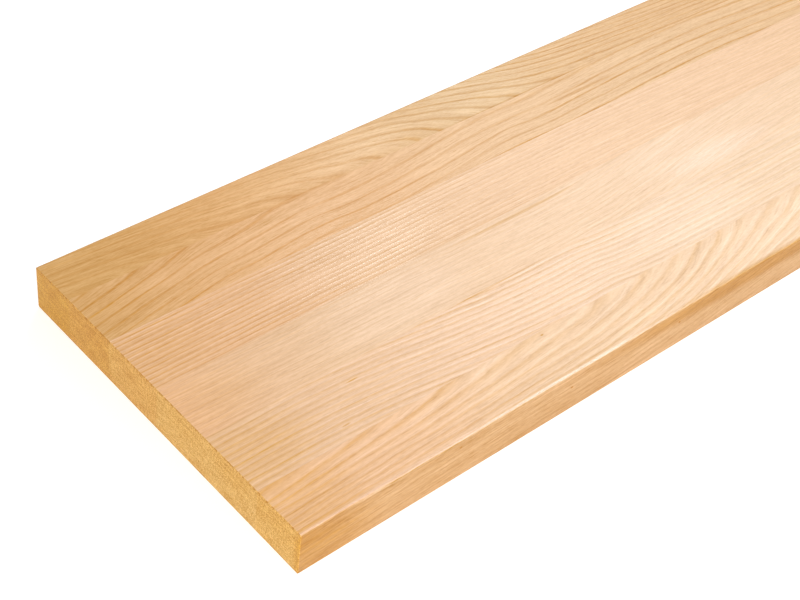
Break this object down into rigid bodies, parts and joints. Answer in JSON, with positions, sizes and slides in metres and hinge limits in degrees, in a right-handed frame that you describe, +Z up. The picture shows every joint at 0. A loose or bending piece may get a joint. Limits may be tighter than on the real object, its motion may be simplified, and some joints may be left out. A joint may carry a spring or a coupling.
{
  "type": "stair tread",
  "caption": "Rectangular hardwood stair tread, a flat step board edge-glued from parallel full-length staves, with eased long edges and square sawn ends.",
  "frame": {"origin": "centre of the flat underside, on the level that the tread rests on", "axes": "+X along the tread's length, +Y from the front (nosing) edge towards the back edge, +Z up to the walking surface"},
  "size_m": [1, 0.3, 0.038],
  "materials": {
    "front_stave": "planed and sanded bare ring-porous hardwood, satin",
    "inner_stave_1": "planed and sanded bare ring-porous hardwood, satin",
    "inner_stave_2": "planed and sanded bare ring-porous hardwood, satin",
    "inner_stave_3": "planed and sanded bare ring-porous hardwood, satin",
    "inner_stave_4": "planed and sanded bare ring-porous hardwood, satin",
    "back_stave": "planed and sanded bare ring-porous hardwood, satin"
  },
  "bodies": {
    "root": {"front_stave": "front_stave", "inner_stave_1": "inner_stave_1", "inner_stave_2": "inner_stave_2", "inner_stave_3": "inner_stave_3", "inner_stave_4": "inner_stave_4", "back_stave": "back_stave"}
  },
  "joints": []
}
